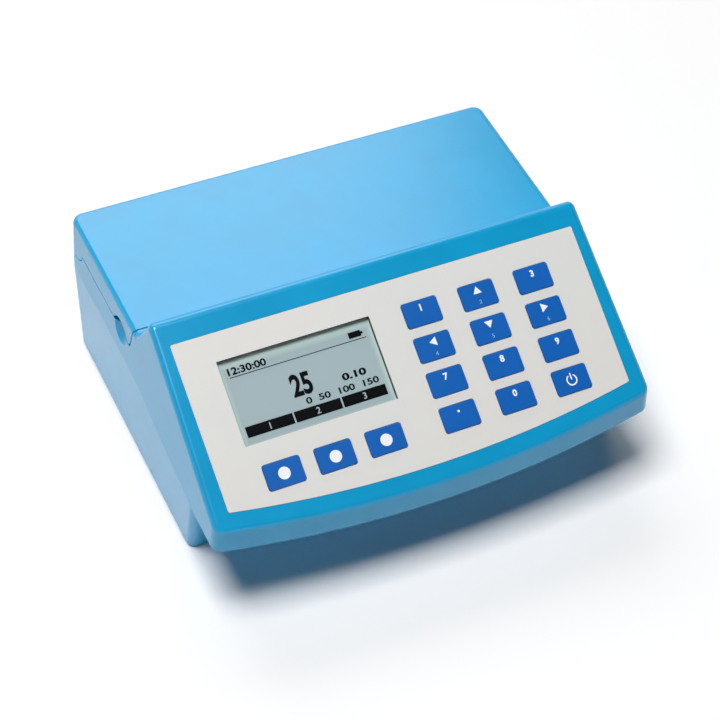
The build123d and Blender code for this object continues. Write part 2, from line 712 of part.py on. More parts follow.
def display_gasket():
    """Black frame between the overlay and the display glass."""
    outer = panel_box(WINDOW_X, WINDOW_V, WINDOW_WIDTH + 2 * GASKET_WIDTH - SHELL_LAP,
                      WINDOW_HEIGHT + 2 * GASKET_WIDTH - SHELL_LAP, -OVERLAY_RECESS, -WALL)
    return outer - panel_box(WINDOW_X, WINDOW_V, WINDOW_WIDTH, WINDOW_HEIGHT, 0, -2 * WALL)


def display_glass():
    """Liquid crystal glass behind the gasket."""
    return panel_box(WINDOW_X, WINDOW_V, WINDOW_WIDTH + 2 * GLASS_MARGIN, WINDOW_HEIGHT + 2 * GLASS_MARGIN,
                     -WALL, -WALL - GLASS_THICK)


def display_backlight():
    """Light guide behind the glass."""
    return panel_box(WINDOW_X, WINDOW_V, WINDOW_WIDTH + 2 * GLASS_MARGIN, WINDOW_HEIGHT + 2 * GLASS_MARGIN,
                     -WALL - GLASS_THICK, DISPLAY_BACK)


def display_board():
    """Board that carries the display and is screwed to the panel."""
    height = WINDOW_HEIGHT + 2 * (GLASS_MARGIN + 2 * BOARD_BOSS_R + BOSS_GAP)
    body = panel_box(WINDOW_X, WINDOW_V, WINDOW_WIDTH + 2 * GLASS_MARGIN, height,
                     DISPLAY_BACK, DISPLAY_BACK - BOARD_THICK)
    for x, v in display_screws_at():
        body -= panel_rod(x, v, BOARD_SCREW_R + SCREW_CLEARANCE, DISPLAY_BACK, DISPLAY_BACK - BOARD_THICK)
    return body


def display_screws():
    """Screws of the display board."""
    return [panel_screw(x, v, DISPLAY_BACK - BOARD_THICK) for x, v in display_screws_at()]


def flange_screws_at():
    """Places of the four optics screws round the well."""
    reach = FLANGE_HALF - BOSS_R
    return [(WELL_X + sx * reach, WELL_Y + sy * reach) for sx in (-1, 1) for sy in (-1, 1)]


def optical_block():
    """Black block with the cuvette well, the emitter tunnel and the detector arm."""
    roof = DECK_Z - WALL
    body = rod_z(WELL_X, WELL_Y, BLOCK_R, WELL_FLOOR_Z - BLOCK_FLOOR, roof)
    flange_top = roof - FLANGE_DROP
    body += block(WELL_X - FLANGE_HALF, WELL_X + FLANGE_HALF, WELL_Y - FLANGE_HALF, WELL_Y + FLANGE_HALF,
                  flange_top - FLANGE_THICK, flange_top)
    tunnel_half = TUNNEL_R + TUNNEL_WALL
    body += block(WELL_X + WELL_R, WELL_X + TUNNEL_END, WELL_Y - tunnel_half, WELL_Y + tunnel_half,
                  BEAM_Z - tunnel_half, BEAM_Z + tunnel_half)
    body += block(WELL_X - DETECTOR_ARM_END, WELL_X - WELL_R, WELL_Y - DETECTOR_ARM_HALF, WELL_Y + DETECTOR_ARM_HALF,
                  BEAM_Z - DETECTOR_ARM_HALF, BEAM_Z + DETECTOR_ARM_HALF)
    body -= rod_z(WELL_X, WELL_Y, WELL_R, WELL_FLOOR_Z, FAR)
    body -= rod_x(WELL_Y, BEAM_Z, BEAM_R, WELL_X - DETECTOR_ARM_END, WELL_X + TUNNEL_START)
    body -= rod_x(WELL_Y, BEAM_Z, LENS_R + OPTIC_FIT, WELL_X + TUNNEL_START - LENS_THICK, WELL_X + TUNNEL_START)
    body -= rod_x(WELL_Y, BEAM_Z, TUNNEL_R, WELL_X + TUNNEL_START, WELL_X + TUNNEL_END)
    body -= rod_x(WELL_Y, BEAM_Z, DETECTOR_R + OPTIC_FIT, WELL_X - DETECTOR_ARM_END,
                  WELL_X - DETECTOR_ARM_END + DETECTOR_LENGTH)
    body -= rod_y(WELL_X + SPLITTER_X, BEAM_Z, BEAM_R, WELL_Y, WELL_Y + tunnel_half)
    for x, y in flange_screws_at():
        body -= rod_z(x, y, SCREW_R + SCREW_CLEARANCE, 0, roof)
    return body


def optics_screws():
    """Screws that hang the optical block under the deck."""
    seat = DECK_Z - WALL - FLANGE_DROP - FLANGE_THICK
    return [rod_z(x, y, SCREW_R, seat, seat + FLANGE_THICK + SCREW_GRIP)
            + rod_z(x, y, SCREW_HEAD_R, seat - SCREW_HEAD_THICK, seat) for x, y in flange_screws_at()]


def cuvette_collar():
    """Ring on the deck with the index notch for the cuvette."""
    body = rod_z(WELL_X, WELL_Y, COLLAR_R, DECK_Z, DECK_Z + COLLAR_HEIGHT)
    body = chamfer(body.faces().sort_by(Axis.Z)[-1].edges(), COLLAR_HEIGHT / 2)
    body += rod_z(WELL_X, WELL_Y, COLLAR_NECK_R, DECK_Z - WALL, DECK_Z)
    body -= rod_z(WELL_X, WELL_Y, WELL_R + 2 * SEAM_GAP, 0, FAR)
    notch = Pos(WELL_X, WELL_Y - COLLAR_R, DECK_Z + COLLAR_HEIGHT) * Rot(0, 0, 45)
    return body - notch * Box(2 * COLLAR_HEIGHT, 2 * COLLAR_HEIGHT, COLLAR_HEIGHT)


def focusing_lens():
    """Lens at the inner end of the tunnel, flat towards the well."""
    flat = WELL_X + TUNNEL_START - LENS_THICK
    radius = (LENS_R ** 2 + LENS_BULGE ** 2) / (2 * LENS_BULGE)
    dome = Pos(flat + LENS_THICK - radius, WELL_Y, BEAM_Z) * Sphere(radius)
    return rod_x(WELL_Y, BEAM_Z, LENS_R, flat, flat + LENS_THICK) & dome


def beam_splitter():
    """Oval glass plate across the tunnel at 45 degrees."""
    slab = Pos(WELL_X + SPLITTER_X, WELL_Y, BEAM_Z) * Rot(0, 0, 45) * Box(SPLITTER_THICK, 4 * TUNNEL_R, 4 * TUNNEL_R)
    return slab & rod_x(WELL_Y, BEAM_Z, TUNNEL_R - OPTIC_FIT, WELL_X + TUNNEL_START, WELL_X + TUNNEL_END)


def filter_places():
    """Y and Z of the five filters, one in the middle and four round it."""
    ring = [(FILTER_RING_R * cos(radians(a)), FILTER_RING_R * sin(radians(a))) for a in (45, 135, 225, 315)]
    return [(WELL_Y + dy, BEAM_Z + dz) for dy, dz in [(0, 0)] + ring]


def filter_holder():
    """Disc that carries the five filters in front of the emitters."""
    body = rod_x(WELL_Y, BEAM_Z, TUNNEL_R - OPTIC_FIT, WELL_X + FILTER_X, WELL_X + FILTER_X + FILTER_HOLDER_THICK)
    for y, z in filter_places():
        body -= rod_x(y, z, FILTER_R + OPTIC_FIT, WELL_X + FILTER_X + FILTER_HOLDER_THICK - FILTER_THICK,
                      WELL_X + FILTER_X + FILTER_HOLDER_THICK)
        body -= rod_x(y, z, FILTER_R - 2 * OPTIC_FIT, WELL_X + FILTER_X, WELL_X + FILTER_X + FILTER_HOLDER_THICK)
    return body


def band_filters():
    """The five narrow-band filters."""
    rear = WELL_X + FILTER_X + FILTER_HOLDER_THICK
    return [rod_x(y, z, FILTER_R, rear - FILTER_THICK, rear) for y, z in filter_places()]


def light_emitters():
    """The five light emitters, domed towards the filters."""
    board = WELL_X + TUNNEL_END
    tip = board - EMITTER_LENGTH
    emitters = []
    for y, z in filter_places():
        body = rod_x(y, z, EMITTER_R, tip, board)
        emitters.append(fillet(body.faces().sort_by(Axis.X)[0].edges(), EMITTER_DOME_R))
    return emitters


def emitter_board():
    """Board behind the emitters, closing the tunnel."""
    face = WELL_X + TUNNEL_END
    return block(face, face + BOARD_THICK, WELL_Y - EMITTER_BOARD_HALF, WELL_Y + EMITTER_BOARD_HALF,
                 BEAM_Z - EMITTER_BOARD_HALF, BEAM_Z + EMITTER_BOARD_HALF)


def reference_detector():
    """Detector that sees the light turned aside by the splitter."""
    seat = WELL_Y + TUNNEL_R + TUNNEL_WALL
    return rod_y(WELL_X + SPLITTER_X, BEAM_Z, REFERENCE_R, seat, seat + REFERENCE_LENGTH)


def measuring_detector():
    """Detector behind the cuvette."""
    return rod_x(WELL_Y, BEAM_Z, DETECTOR_R, WELL_X - DETECTOR_ARM_END, WELL_X - DETECTOR_ARM_END + DETECTOR_LENGTH)


def detector_board():
    """Board of the measuring detector."""
    face = WELL_X - DETECTOR_ARM_END
    return block(face - BOARD_THICK, face, WELL_Y - DETECTOR_ARM_HALF, WELL_Y + DETECTOR_ARM_HALF,
                 BEAM_Z - DETECTOR_ARM_HALF, BEAM_Z + DETECTOR_ARM_HALF)


def main_board_screws_at():
    """Places of the main board screws."""
    reach = MAIN_BOARD_HALF - BOARD_EDGE
    return [(sx * reach, y) for sx in (-1, 1)
            for y in (MAIN_BOARD_FRONT_Y + 2 * BOARD_EDGE, MAIN_BOARD_REAR_Y - BOARD_EDGE)]


def main_board():
    """Main board on its bosses in the tub."""
    body = block(-MAIN_BOARD_HALF, MAIN_BOARD_HALF, MAIN_BOARD_FRONT_Y, MAIN_BOARD_REAR_Y,
                 MAIN_BOARD_Z, MAIN_BOARD_Z + BOARD_THICK)
    for x, y in main_board_screws_at():
        body -= rod_z(x, y, BOARD_SCREW_R + SCREW_CLEARANCE, 0, FAR)
    return body


def main_board_chips():
    """Packages on the main board."""
    top = MAIN_BOARD_Z + BOARD_THICK
    first = -CHIP_PITCH * (CHIP_COUNT - 1) / 2
    middle = (MAIN_BOARD_FRONT_Y + MAIN_BOARD_REAR_Y) / 2
    return [block(x - CHIP_SIDE / 2, x + CHIP_SIDE / 2, middle - CHIP_SIDE / 2, middle + CHIP_SIDE / 2,
                  top, top + CHIP_HEIGHT) for x in (first + number * CHIP_PITCH for number in range(CHIP_COUNT))]


def port_board_screws_at():
    """Places of the port board screws, along its front edge."""
    reach = PORT_BOARD_HALF - BOARD_EDGE
    return [(PORT_BOARD_X + sx * reach, PORT_BOARD_FRONT_Y + BOARD_EDGE) for sx in (-1, 1)]


def port_board():
    """Board behind the rear wall that carries the ports."""
    body = block(PORT_BOARD_X - PORT_BOARD_HALF, PORT_BOARD_X + PORT_BOARD_HALF, PORT_BOARD_FRONT_Y,
                 PORT_BOARD_REAR_Y, PORT_BOARD_Z, PORT_BOARD_Z + BOARD_THICK)
    for x, y in port_board_screws_at():
        body -= rod_z(x, y, BOARD_SCREW_R + SCREW_CLEARANCE, 0, FAR)
    return body


def board_screws():
    """Screws of the main board and the port board."""
    screws = []
    for places, z in ((main_board_screws_at(), MAIN_BOARD_Z), (port_board_screws_at(), PORT_BOARD_Z)):
        for x, y in places:
            top = z + BOARD_THICK
            screws.append(rod_z(x, y, BOARD_SCREW_R, z - 2 * BOARD_THICK, top)
                          + rod_z(x, y, BOARD_SCREW_HEAD_R, top, top + BOARD_SCREW_HEAD))
    return screws


def usb_a_port():
    """USB-A socket: metal shell open to the rear with its tongue."""
    low = PORT_BOARD_Z + BOARD_THICK
    mouth = REAR_Y - PORT_RECESS
    left = USB_A_X - USB_A_WIDTH / 2
    body = block(left, left + USB_A_WIDTH, mouth - USB_A_DEPTH, mouth, low, low + USB_A_HEIGHT)
    body -= block(left + USB_SHELL, left + USB_A_WIDTH - USB_SHELL, mouth - USB_A_DEPTH + 2 * USB_SHELL, FAR,
                  low + USB_SHELL, low + USB_A_HEIGHT - USB_SHELL)
    tongue = block(left + 2 * USB_SHELL, left + USB_A_WIDTH - 2 * USB_SHELL, mouth - USB_A_DEPTH + USB_SHELL,
                   mouth - TONGUE_GAP, low + USB_A_HEIGHT - USB_SHELL - USB_TONGUE - TONGUE_GAP,
                   low + USB_A_HEIGHT - USB_SHELL - TONGUE_GAP)
    return body + tongue


def micro_usb_port():
    """Micro-USB socket."""
    low = PORT_BOARD_Z + BOARD_THICK
    mouth = REAR_Y - PORT_RECESS
    left = MICRO_X - MICRO_WIDTH / 2
    body = block(left, left + MICRO_WIDTH, mouth - MICRO_DEPTH, mouth, low, low + MICRO_HEIGHT)
    side = (MICRO_HEIGHT - MICRO_MOUTH) / 2
    return body - block(left + side, left + MICRO_WIDTH - side, mouth - MICRO_DEPTH + 2 * side, FAR,
                        low + side, low + MICRO_HEIGHT - side)


def probe_jack():
    """Round 3.5 mm socket for a probe."""
    low = PORT_BOARD_Z + BOARD_THICK
    axis_z = low + JACK_BODY / 2
    mouth = REAR_Y - PORT_RECESS
    body = block(JACK_X - JACK_BODY / 2, JACK_X + JACK_BODY / 2, mouth - JACK_DEPTH - WALL, mouth - WALL - PORT_RECESS,
                 low, low + JACK_BODY)
    body += rod_y(JACK_X, axis_z, JACK_BUSH_R, mouth - WALL - PORT_RECESS, mouth)
    return body - rod_y(JACK_X, axis_z, JACK_BORE_R, mouth - JACK_DEPTH, FAR)


def battery_pack():
    """Rechargeable pack lying in its cradle."""
    body = block(BATTERY_X - BATTERY_WIDTH / 2, BATTERY_X + BATTERY_WIDTH / 2, BATTERY_Y - BATTERY_LENGTH / 2,
                 BATTERY_Y + BATTERY_LENGTH / 2, FLOOR_Z, FLOOR_Z + BATTERY_HEIGHT)
    return fillet(body.edges().filter_by(Axis.Y), BATTERY_R)


def case_screws():
    """Screws that join the two halves of the case from below."""
    seat = BOSS_TOP_Z - SCREW_GRIP
    return [rod_z(x, y, SCREW_R, seat, BOSS_TOP_Z + SCREW_BITE - SCREW_R)
            + rod_z(x, y, SCREW_HEAD_R, seat - SCREW_HEAD_THICK, seat) for x, y in case_screws_at()]


def rubber_feet():
    """Four rubber feet in their seats."""
    return [rod_z(x, y, FOOT_R - SHELL_LAP, 0, FOOT_HEIGHT + FOOT_SEAT) for x, y in feet_at()]


def write(name, solids):
    """Write one node, a single solid or a group of solids, to its own file."""
    shape = Compound(children=solids) if isinstance(solids, list) else solids
    export_step(shape, os.path.join("parts", name + ".step"))


os.makedirs("parts", exist_ok=True)

NODES = {
    "lower_case": lower_case,
    "upper_case": upper_case,
    "lid": lid,
    "hinge_pins": hinge_pins,
    "panel_overlay": panel_overlay,
    "display_gasket": display_gasket,
    "display_glass": display_glass,
    "display_backlight": display_backlight,
    "display_board": display_board,
    "display_screws": display_screws,
    "key_contacts": key_contacts,
    "key_board": key_board,
    "key_board_screws": key_board_screws,
    "optical_block": optical_block,
    "optics_screws": optics_screws,
    "cuvette_collar": cuvette_collar,
    "focusing_lens": focusing_lens,
    "beam_splitter": beam_splitter,
    "filter_holder": filter_holder,
    "band_filters": band_filters,
    "light_emitters": light_emitters,
    "emitter_board": emitter_board,
    "reference_detector": reference_detector,
    "measuring_detector": measuring_detector,
    "detector_board": detector_board,
    "main_board": main_board,
    "main_board_chips": main_board_chips,
    "port_board": port_board,
    "port_panel": port_panel,
    "board_screws": board_screws,
    "usb_a_port": usb_a_port,
    "micro_usb_port": micro_usb_port,
    "probe_jack": probe_jack,
    "battery_pack": battery_pack,
    "case_screws": case_screws,
    "rubber_feet": rubber_feet,
}
PAD_NAMES = ["key_1", "key_up", "key_3", "key_left", "key_down", "key_right", "key_7", "key_8", "key_9",
             "key_point", "key_0", "key_power"]
SOFT_NAMES = ["soft_key_left", "soft_key_middle", "soft_key_right"]

for node_name, make in NODES.items():
    write(node_name, make())
for key_name, (key_x, key_v) in zip(PAD_NAMES + SOFT_NAMES, pad_keys() + soft_keys()):
    write(key_name, key(key_x, key_v))
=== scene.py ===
"""Finishes, printing and studio of a benchtop photometer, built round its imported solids."""
import logging
import math
from dataclasses import dataclass, field
from enum import Enum
from typing import Dict, List, Optional, Protocol, Sequence, Tuple, Union

import bmesh
import bpy
from mathutils import Matrix, Vector


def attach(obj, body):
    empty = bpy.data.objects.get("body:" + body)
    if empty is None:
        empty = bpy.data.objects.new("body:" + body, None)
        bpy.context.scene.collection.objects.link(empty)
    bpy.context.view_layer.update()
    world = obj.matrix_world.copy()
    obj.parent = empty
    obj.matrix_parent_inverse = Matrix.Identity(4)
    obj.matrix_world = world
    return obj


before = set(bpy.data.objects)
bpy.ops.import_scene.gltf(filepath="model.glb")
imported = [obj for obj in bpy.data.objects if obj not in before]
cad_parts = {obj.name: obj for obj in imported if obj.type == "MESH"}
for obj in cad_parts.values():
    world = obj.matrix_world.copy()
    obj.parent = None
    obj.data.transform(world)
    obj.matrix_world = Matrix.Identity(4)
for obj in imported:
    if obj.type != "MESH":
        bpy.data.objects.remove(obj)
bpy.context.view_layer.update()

LOG = logging.getLogger("photometer")
Colour = Tuple[float, float, float]
Place = Tuple[float, float, float]
Span = Tuple[float, float]
Spot = Tuple[float, float]
Outline = List[Spot]
Plug = Tuple[bpy.types.Node, str]
MM = 0.001
WHITE = (1.0, 1.0, 1.0, 1.0)


def from_srgb(red: float, green: float, blue: float) -> Colour:
    """Turn screen colour values into the linear values that shaders use, by the sRGB curve.

    Args:
        red: Red from 0 to 255.
        green: Green from 0 to 255.
        blue: Blue from 0 to 255.

    Returns:
        The linear colour.
    """
    def linear(value: float) -> float:
        """Straighten one channel from 0 to 255 into a linear value from 0 to 1."""
        share = value / 255.0
        return share / 12.92 if share <= 0.04045 else ((share + 0.055) / 1.055) ** 2.4
    return (linear(red), linear(green), linear(blue))


def shaded(colour: Colour, share: float, lift: float = 0.0) -> Colour:
    """Scale a linear colour by a share and lift it by a value, with no channel over full."""
    return tuple(min(channel * share + lift, 1.0) for channel in colour)


def polar(centre: Spot, radius: float, angle: float) -> Spot:
    """Find the point at a distance from a centre, at an angle in radians from the x axis."""
    return (centre[0] + radius * math.cos(angle), centre[1] + radius * math.sin(angle))


class Pointer(Enum):
    """Ways that a key's arrow can point, as degrees from up the slope."""

    UP = 0.0
    LEFT = 90.0
    DOWN = 180.0
    RIGHT = 270.0


@dataclass(frozen=True)
class Slope:
    """The sloped panel as a drawing surface in millimetres: its upper edge in the middle, and its tilt."""

    ridge_y: float = -5.5
    ridge_z: float = 97.0
    tilt: float = math.radians(31.7)

    def frame(self) -> Matrix:
        """Axes of the panel: x across, y up the slope, z off the panel.

        Returns:
            The matrix from panel millimetres to metres in the shared frame.
        """
        across = Vector((1, 0, 0))
        up = Vector((0, math.cos(self.tilt), math.sin(self.tilt)))
        out = Vector((0, -math.sin(self.tilt), math.cos(self.tilt)))
        turn = Matrix((across, up, out)).transposed().to_4x4()
        return Matrix.Translation(Vector((0, self.ridge_y, self.ridge_z)) * MM) @ turn @ Matrix.Scale(MM, 4)


SLOPE = Slope()


class Wiring:
    """Small helper that adds and links the nodes of one tree."""

    def __init__(self, tree: bpy.types.NodeTree) -> None:
        """Take the node tree of a material or of the world, and empty it."""
        self.tree = tree
        self.tree.nodes.clear()

    @staticmethod
    def tune(node: bpy.types.Node, **values: object) -> None:
        """Set unlinked inputs of a node by name, with underscores for spaces."""
        for key, value in values.items():
            node.inputs[key.replace("_", " ")].default_value = value

    def add(self, kind: str, **values: object) -> bpy.types.Node:
        """Add one node and set its unlinked inputs by name.

        Args:
            kind: Type of the node.
            **values: Input names, with underscores for spaces, and their values.

        Returns:
            The node.
        """
        node = self.tree.nodes.new(kind)
        self.tune(node, **values)
        return node

    def link(self, source: bpy.types.Node, out: str, target: bpy.types.Node, into: Union[str, int]) -> None:
        """Join an output to an input, which goes by its number where several have one name."""
        self.tree.links.new(source.outputs[out], target.inputs[into])

    def calculate(self, operation: str, *terms: Plug) -> bpy.types.Node:
        """Add arithmetic on values.

        Args:
            operation: What is done with the values.
            *terms: Nodes that give the values, each with the name of its output.

        Returns:
            The node, which gives its result as Value.
        """
        node = self.add("ShaderNodeMath")
        node.operation = operation
        for index, (source, out) in enumerate(terms):
            self.link(source, out, node, index)
        return node

    def blend(self, share: Plug, first: Plug, second: Plug) -> bpy.types.Node:
        """Mix two shaders.

        Args:
            share: Node and output that give the share of the second shader.
            first: Node and output of the first shader.
            second: Node and output of the second shader.

        Returns:
            The node, which gives its result as Shader.
        """
        node = self.add("ShaderNodeMixShader")
        for into, (source, out) in enumerate((share, first, second)):
            self.link(source, out, node, into)
        return node


class NodeMaker(Wiring):
    """Maker of one material round a principled shader."""

    def __init__(self, name: str) -> None:
        """Start an empty material.

        Args:
            name: Name of the material.
        """
        self.material = bpy.data.materials.new(name)
        self.material.use_nodes = True
        super().__init__(self.material.node_tree)
        self.output = self.add("ShaderNodeOutputMaterial")
        self.shader = self.add("ShaderNodeBsdfPrincipled")
        self.link(self.shader, "BSDF", self.output, "Surface")
        self.place = self.add("ShaderNodeTexCoord")

    def noise(self, size_mm: float, detail: float, roughness: float = 0.55) -> bpy.types.Node:
        """Add noise with features of a real size.

        Args:
            size_mm: Size of the features.
            detail: Octaves of finer noise.
            roughness: Share of the finer noise.

        Returns:
            The noise node.
        """
        node = self.add("ShaderNodeTexNoise", Scale=1.0 / (size_mm * MM), Detail=detail, Roughness=roughness)
        self.link(self.place, "Object", node, "Vector")
        return node

    def ramp(self, source: bpy.types.Node, out: str, stops: Sequence[float],
             colours: Sequence[Colour]) -> bpy.types.Node:
        """Colour a value by stops.

        Args:
            source: Node that gives the value.
            out: Name of its output.
            stops: Positions on the value's scale.
            colours: The colour at each of them.

        Returns:
            The ramp node.
        """
        node = self.add("ShaderNodeValToRGB")
        elements = node.color_ramp.elements
        while len(elements) < len(stops):
            elements.new(0.5)
        for element, position, colour in zip(elements, stops, colours):
            element.position = position
            element.color = (*colour, 1.0)
        self.link(source, out, node, "Fac")
        return node

    def tint(self, source: bpy.types.Node, out: str, stops: Sequence[float],
             colours: Sequence[Colour]) -> None:
        """Let the surface's colour follow a value, by the stops and colours of a ramp."""
        self.link(self.ramp(source, out, stops, colours), "Color", self.shader, "Base Color")

    def bump(self, source: bpy.types.Node, out: str, height_mm: float) -> None:
        """Raise the surface by a texture.

        Args:
            source: Node that gives the height.
            out: Name of its output.
            height_mm: Height of a full step.
        """
        node = self.add("ShaderNodeBump", Distance=height_mm * MM, Strength=1.0)
        self.link(source, out, node, "Height")
        self.link(node, "Normal", self.shader, "Normal")

    def vary_roughness(self, source: bpy.types.Node, out: str, low: float, high: float) -> None:
        """Let the roughness follow a texture.

        Args:
            source: Node that gives the value.
            out: Name of its output.
            low: Roughness at 0.
            high: Roughness at 1.
        """
        node = self.add("ShaderNodeMapRange", To_Min=low, To_Max=high)
        self.link(source, out, node, "Value")
        self.link(node, "Result", self.shader, "Roughness")


class Finish(Protocol):
    """A finish of the object: it has a name and builds a material."""

    name: str

    def make(self) -> bpy.types.Material:
        """Build the material."""


@dataclass(frozen=True)
class MouldedPlastic:
    """Injection-moulded plastic with a fine spark-eroded grain and a slight mottle."""

    name: str
    colour: Colour
    roughness: float
    specular: float = 0.5
    mottle: float = 0.04
    mottle_mm: float = 22.0
    mottle_stops: Span = (0.3, 0.7)
    uneven: float = 0.03
    grain_mm: float = 0.35
    grain_height_mm: float = 0.006

    def make(self) -> bpy.types.Material:
        """Build the material.

        Returns:
            The finished material.
        """
        maker = NodeMaker(self.name)
        cloud = maker.noise(self.mottle_mm, detail=2.0)
        dark, light = (shaded(self.colour, 1.0 + change) for change in (-self.mottle, self.mottle))
        maker.tint(cloud, "Fac", self.mottle_stops, (dark, light))
        maker.bump(maker.noise(self.grain_mm, detail=4.0), "Fac", self.grain_height_mm)
        maker.vary_roughness(cloud, "Fac", self.roughness - self.uneven, self.roughness + self.uneven)
        maker.tune(maker.shader, Specular_IOR_Level=self.specular)
        return maker.material


@dataclass(frozen=True)
class PrintedSheet:
    """Printed polycarbonate sheet with a fine velvet texture."""

    name: str
    colour: Colour
    warm: Colour
    warm_mm: float = 60.0
    warm_stops: Span = (0.35, 0.65)
    velvet_mm: float = 0.25
    velvet_height_mm: float = 0.004
    roughness: Span = (0.4, 0.46)
    specular: float = 0.35

    def make(self) -> bpy.types.Material:
        """Build the material.

        Returns:
            The finished material.
        """
        maker = NodeMaker(self.name)
        wide = maker.noise(self.warm_mm, detail=1.0)
        maker.tint(wide, "Fac", self.warm_stops, (self.colour, self.warm))
        velvet = maker.add("ShaderNodeTexVoronoi", Scale=1.0 / (self.velvet_mm * MM))
        maker.link(maker.place, "Object", velvet, "Vector")
        maker.bump(velvet, "Distance", self.velvet_height_mm)
        maker.vary_roughness(wide, "Fac", *self.roughness)
        maker.tune(maker.shader, Specular_IOR_Level=self.specular)
        return maker.material


@dataclass(frozen=True)
class SpunMetal:
    """Plated or brushed metal with fine drawn marks."""

    name: str
    colour: Colour
    roughness: float = 0.28
    uneven: float = 0.08
    dark: float = 0.86
    mark_mm: float = 1.6
    mark_stops: Span = (0.35, 0.65)
    mark_narrowing: Place = (1.0, 12.0, 12.0)
    mark_height_mm: float = 0.004

    def make(self) -> bpy.types.Material:
        """Build the material.

        Returns:
            The finished material.
        """
        maker = NodeMaker(self.name)
        stretch = maker.add("ShaderNodeMapping", Scale=self.mark_narrowing)
        maker.link(maker.place, "Object", stretch, "Vector")
        marks = maker.add("ShaderNodeTexNoise", Scale=1.0 / (self.mark_mm * MM), Detail=5.0)
        maker.link(stretch, "Vector", marks, "Vector")
        maker.tint(marks, "Fac", self.mark_stops, (shaded(self.colour, self.dark), self.colour))
        maker.vary_roughness(marks, "Fac", self.roughness - self.uneven, self.roughness + self.uneven)
        maker.bump(marks, "Fac", self.mark_height_mm)
        maker.tune(maker.shader, Metallic=1.0)
        return maker.material


@dataclass(frozen=True)
class SoftRubber:
    """Matt moulded rubber with a speckled skin."""

    name: str
    colour: Colour
    light: float = 1.5
    lift: float = 0.004
    speckle_mm: float = 0.8
    speckle_stops: Span = (0.35, 0.7)
    speckle_height_mm: float = 0.03
    roughness: Span = (0.7, 0.85)

    def make(self) -> bpy.types.Material:
        """Build the material.

        Returns:
            The finished material.
        """
        maker = NodeMaker(self.name)
        speckle = maker.noise(self.speckle_mm, detail=4.0)
        light = shaded(self.colour, self.light, self.lift)
        maker.tint(speckle, "Fac", self.speckle_stops, (self.colour, light))
        maker.bump(speckle, "Fac", self.speckle_height_mm)
        maker.vary_roughness(speckle, "Fac", *self.roughness)
        return maker.material


@dataclass(frozen=True)
class DisplayGlass:
    """Front of a reflective crystal display: a grey-green field that pales to its edges."""

    name: str
    middle: Colour
    edge: Colour
    centre_mm: Place = (-42.3, -41.0, 73.0)
    half_mm: Span = (33.9, 18.4)
    fade_mm: float = 6.0
    plain: float = 0.55
    cell_mm: float = 0.4
    cell_height_mm: float = 0.001
    roughness: Span = (0.2, 0.26)
    specular: float = 0.3

    def make(self) -> bpy.types.Material:
        """Build the material.

        Returns:
            The finished material.
        """
        maker = NodeMaker(self.name)
        shift = maker.add("ShaderNodeMapping", Location=tuple(-value * MM for value in self.centre_mm))
        maker.link(maker.place, "Object", shift, "Vector")
        split = maker.add("ShaderNodeSeparateXYZ")
        maker.link(shift, "Vector", split, "Vector")
        reach: List[Plug] = []
        for axis, half in (("X", self.half_mm[0]), ("Y", self.half_mm[1] * math.cos(SLOPE.tilt))):
            side = maker.calculate("ABSOLUTE", (split, axis))
            scaled = maker.add("ShaderNodeMapRange", From_Min=(half - self.fade_mm) * MM, From_Max=half * MM)
            maker.link(side, "Value", scaled, "Value")
            reach.append((scaled, "Result"))
        widest = maker.calculate("MAXIMUM", *reach)
        maker.tint(widest, "Value", (0.0, self.plain, 1.0), (self.middle, self.middle, self.edge))
        cells = maker.noise(self.cell_mm, detail=1.0)
        maker.bump(cells, "Fac", self.cell_height_mm)
        maker.vary_roughness(cells, "Fac", *self.roughness)
        maker.tune(maker.shader, Specular_IOR_Level=self.specular)
        return maker.material


@dataclass(frozen=True)
class ClearGlass:
    """Polished optical glass, lightly tinted."""

    name: str
    colour: Colour
    clearness: float = 0.85
    light: float = 1.08
    haze_mm: float = 3.0
    haze_stops: Span = (0.3, 0.7)
    roughness: Span = (0.03, 0.07)

    def make(self) -> bpy.types.Material:
        """Build the material.

        Returns:
            The finished material.
        """
        maker = NodeMaker(self.name)
        haze = maker.noise(self.haze_mm, detail=2.0)
        maker.tint(haze, "Fac", self.haze_stops, (self.colour, shaded(self.colour, self.light)))
        maker.vary_roughness(haze, "Fac", *self.roughness)
        maker.tune(maker.shader, Transmission_Weight=self.clearness)
        return maker.material


@dataclass(frozen=True)
class CircuitBoard:
    """Solder-masked board with the raised pattern of its tracks."""

    name: str
    mask: Colour = (0.02, 0.12, 0.05)
    track: Colour = (0.05, 0.2, 0.08)
    track_mm: float = 4.0
    track_edge: Span = (0.25, 0.35)
    track_height_mm: float = 0.02
    roughness: Span = (0.3, 0.45)

    def make(self) -> bpy.types.Material:
        """Build the material.

        Returns:
            The finished material.
        """
        maker = NodeMaker(self.name)
        tracks = maker.add("ShaderNodeTexVoronoi", Scale=1.0 / (self.track_mm * MM))
        tracks.distance = "MANHATTAN"
        tracks.feature = "F1"
        maker.link(maker.place, "Object", tracks, "Vector")
        maker.tint(tracks, "Distance", self.track_edge, (self.track, self.mask))
        maker.bump(tracks, "Distance", self.track_height_mm)
        maker.vary_roughness(tracks, "Distance", *self.roughness)
        return maker.material


